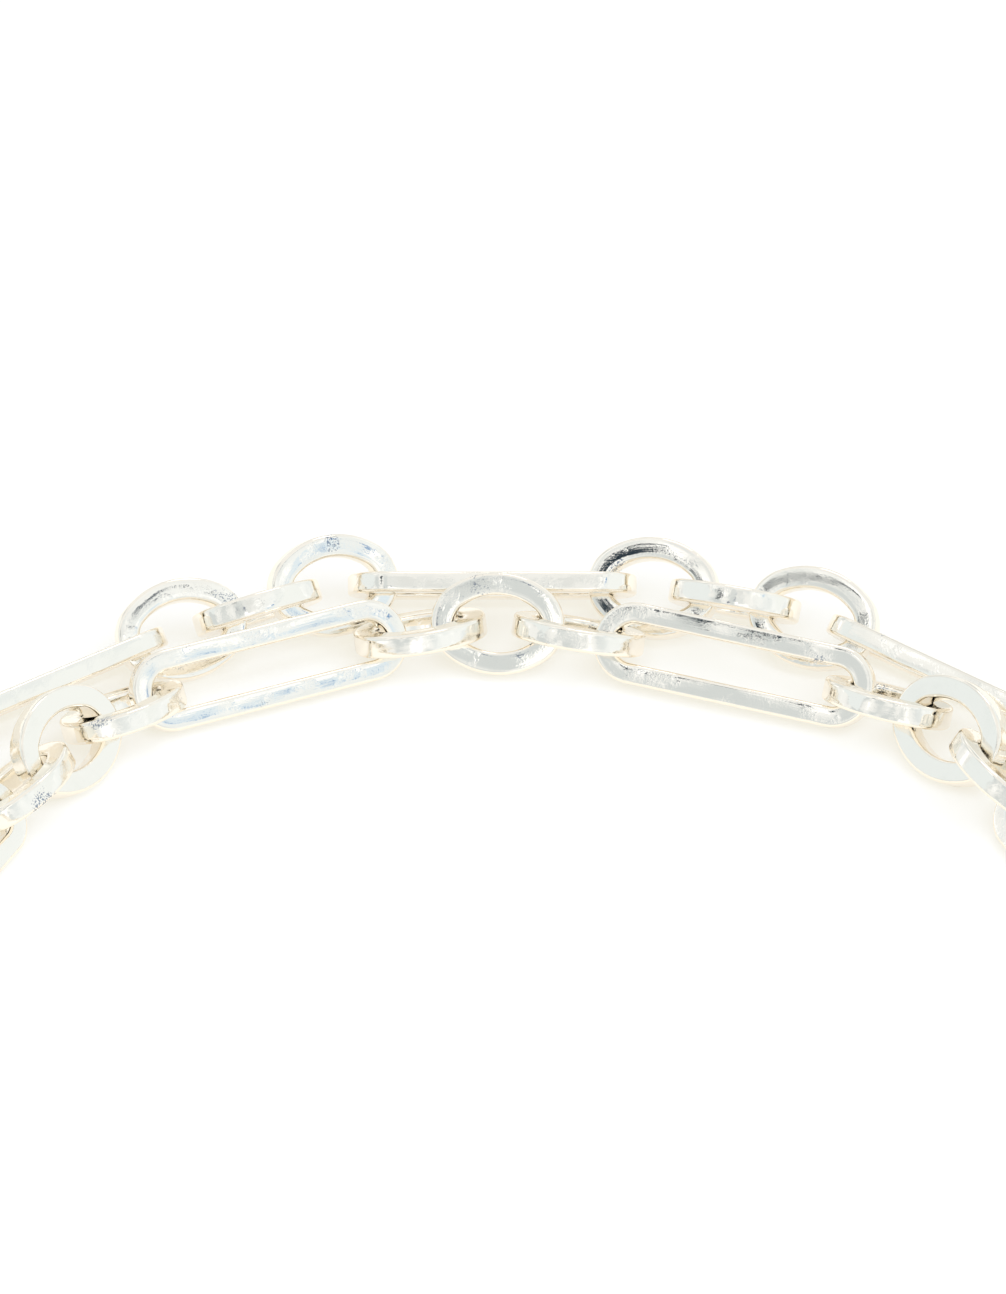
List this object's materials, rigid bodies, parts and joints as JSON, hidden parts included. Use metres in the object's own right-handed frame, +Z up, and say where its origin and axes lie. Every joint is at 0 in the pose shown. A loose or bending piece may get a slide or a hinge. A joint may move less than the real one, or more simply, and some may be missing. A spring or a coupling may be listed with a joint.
{
  "type": "layered chain necklace",
  "caption": "Two-strand silver chain necklace of long oblong links and small oval rings on one box clasp, lying open.",
  "frame": {"origin": "middle of the necklace's outline on the surface that it lies on", "axes": "+Z up; +Y towards the far side of the loop, where the two chains pass side by side; -Y towards the clasp; +X to the right as seen from the clasp"},
  "size_m": [0.1557, 0.1706, 0.0077],
  "materials": {
    "silver": "polished"
  },
  "bodies": {
    "root": {"inner_long_10": "silver", "inner_ring_11": "silver", "inner_ring_12": "silver", "inner_ring_13": "silver", "inner_long_14": "silver", "inner_ring_15": "silver", "inner_ring_16": "silver", "inner_ring_17": "silver", "inner_long_18": "silver", "inner_ring_19": "silver", "inner_ring_20": "silver", "inner_ring_21": "silver", "inner_long_22": "silver", "inner_ring_23": "silver", "inner_ring_24": "silver", "inner_ring_25": "silver", "inner_long_26": "silver", "inner_ring_27": "silver", "inner_ring_28": "silver", "inner_ring_29": "silver", "inner_long_30": "silver", "outer_ring_15": "silver", "outer_long_16": "silver", "outer_ring_17": "silver", "outer_ring_18": "silver", "outer_ring_19": "silver", "outer_long_20": "silver", "outer_ring_21": "silver", "outer_ring_22": "silver", "outer_ring_23": "silver", "outer_long_24": "silver", "outer_ring_25": "silver", "outer_ring_26": "silver", "outer_ring_27": "silver", "outer_long_28": "silver", "outer_ring_29": "silver", "outer_ring_30": "silver", "outer_ring_31": "silver", "outer_long_32": "silver", "outer_ring_33": "silver", "inner_run_left_near_clasp": "silver", "inner_run_left_side": "silver", "inner_run_right_side": "silver", "inner_run_right_near_clasp": "silver", "outer_run_left_near_clasp": "silver", "outer_run_left_side": "silver", "outer_run_right_side": "silver", "outer_run_right_near_clasp": "silver", "clasp": "silver"}
  },
  "joints": []
}
